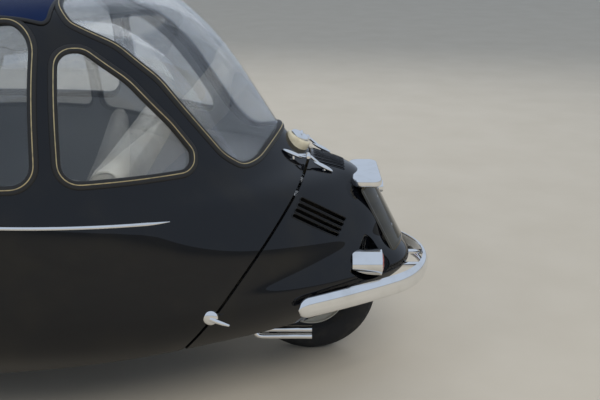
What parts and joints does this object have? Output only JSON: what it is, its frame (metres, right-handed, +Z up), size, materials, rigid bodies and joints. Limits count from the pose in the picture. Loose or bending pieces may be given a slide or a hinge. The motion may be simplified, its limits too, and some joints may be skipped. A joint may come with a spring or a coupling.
{
  "type": "bubble car",
  "caption": "Small egg-shaped bubble car whose nose opens as a door, with steered front wheels, a narrow rear wheel, a domed rear window, a cloth sunroof and a hinged tail cover.",
  "frame": {"origin": "centre of the overall box's bottom face, on the ground under the car", "axes": "+X towards the nose, +Y towards the left side, +Z up"},
  "size_m": [2.5499, 1.3718, 1.323],
  "materials": {
    "body_paint": "gloss",
    "clear_glass": "clear",
    "seal_rubber": "satin",
    "dark_metal": "satin",
    "grey_carpet": "matte",
    "cream_leather": "satin",
    "roof_cloth": "matte",
    "bright_chrome": "polished",
    "cream_plastic": "gloss",
    "cast_steel": "satin",
    "engine_alloy": "matte",
    "wheel_paint": "satin",
    "tyre_rubber": "matte",
    "red_lens": "gloss",
    "black_plate": "gloss"
  },
  "bodies": {
    "chassis": {"side_panel_left": "body_paint", "side_panel_right": "body_paint", "roof_panel": "body_paint", "front_apron": "body_paint", "side_windows": "clear_glass", "window_seals": "seal_rubber", "rear_bubble": "clear_glass", "floor_pan": "dark_metal", "wheel_arches": "dark_metal", "rear_shelf": "grey_carpet", "seat_base": "dark_metal", "seat_cushion": "cream_leather", "seat_back": "cream_leather", "sunroof_fabric": "roof_cloth", "steering_column": "dark_metal", "front_axle": "cast_steel", "rear_swing_arm": "cast_steel", "arm_brackets": "dark_metal", "rear_damper": "dark_metal", "engine_block": "engine_alloy", "silencer": "dark_metal", "tail_pipes": "bright_chrome", "side_strips": "bright_chrome", "filler_base": "cream_plastic", "filler_cap": "bright_chrome", "hinge_front_leaves": "bright_chrome", "headlamp_shells": "body_paint", "headlamp_glasses": "clear_glass", "front_bumper": "bright_chrome", "door_hinge_lugs": "bright_chrome", "jack_pads": "seal_rubber", "tow_eye": "dark_metal", "cover_latches": "bright_chrome"},
    "tail_cover": {"cover_shell": "body_paint", "rear_bumper": "bright_chrome", "number_plate": "black_plate", "plate_lamp_hood": "bright_chrome", "tail_lamp_housings": "bright_chrome", "tail_lamp_lenses": "red_lens", "hinge_rear_leaves": "bright_chrome"},
    "door": {"door_shell": "body_paint", "windscreen": "clear_glass", "windscreen_seal": "seal_rubber", "door_handle": "bright_chrome", "door_hinge_arms": "bright_chrome"},
    "steering_wheel": {"steering_wheel": "cream_plastic"},
    "knuckle_left": {"knuckle_left": "cast_steel"},
    "knuckle_right": {"knuckle_right": "cast_steel"},
    "front_wheel_left": {"front_tyre_left": "tyre_rubber", "front_rim_left": "wheel_paint", "hub_cap_left": "bright_chrome"},
    "front_wheel_right": {"front_tyre_right": "tyre_rubber", "front_rim_right": "wheel_paint", "hub_cap_right": "bright_chrome"},
    "rear_wheel": {"rear_tyre": "tyre_rubber", "rear_rim": "wheel_paint"}
  },
  "joints": [
    {"name": "steer_left", "type": "hinge", "parent": "chassis", "child": "knuckle_left", "pos_m": [0.905, 0.532, 0.235], "axis": [0, 0, 1], "range_deg": [-28, 28]},
    {"name": "steer_right", "type": "hinge", "parent": "chassis", "child": "knuckle_right", "pos_m": [0.905, -0.532, 0.235], "axis": [0, 0, 1], "range_deg": [-28, 28]},
    {"name": "steering_wheel_turn", "type": "hinge", "parent": "chassis", "child": "steering_wheel", "pos_m": [0.43, 0.27, 0.8], "axis": [-0.6691, 0, 0.7431], "range_deg": [-336, 336]},
    {"name": "front_wheel_left_spin", "type": "hinge", "parent": "knuckle_left", "child": "front_wheel_left", "pos_m": [0.905, 0.61, 0.235], "axis": [0, 1, 0], "continuous": true},
    {"name": "front_wheel_right_spin", "type": "hinge", "parent": "knuckle_right", "child": "front_wheel_right", "pos_m": [0.905, -0.61, 0.235], "axis": [0, 1, 0], "continuous": true},
    {"name": "rear_wheel_spin", "type": "hinge", "parent": "chassis", "child": "rear_wheel", "pos_m": [-0.855, 0, 0.235], "axis": [0, 1, 0], "continuous": true},
    {"name": "door_open", "type": "hinge", "parent": "chassis", "child": "door", "pos_m": [1.005, 0.614, 0.508], "axis": [0, 0, 1], "range_deg": [0, 80]},
    {"name": "tail_cover_open", "type": "hinge", "parent": "chassis", "child": "tail_cover", "pos_m": [-0.842, 0, 0.768], "axis": [0, 1, 0], "range_deg": [0, 60]}
  ],
  "couplings": [
    {"joint": "steer_right", "follows": "steer_left", "ratio": 1},
    {"joint": "steering_wheel_turn", "follows": "steer_left", "ratio": 12}
  ]
}
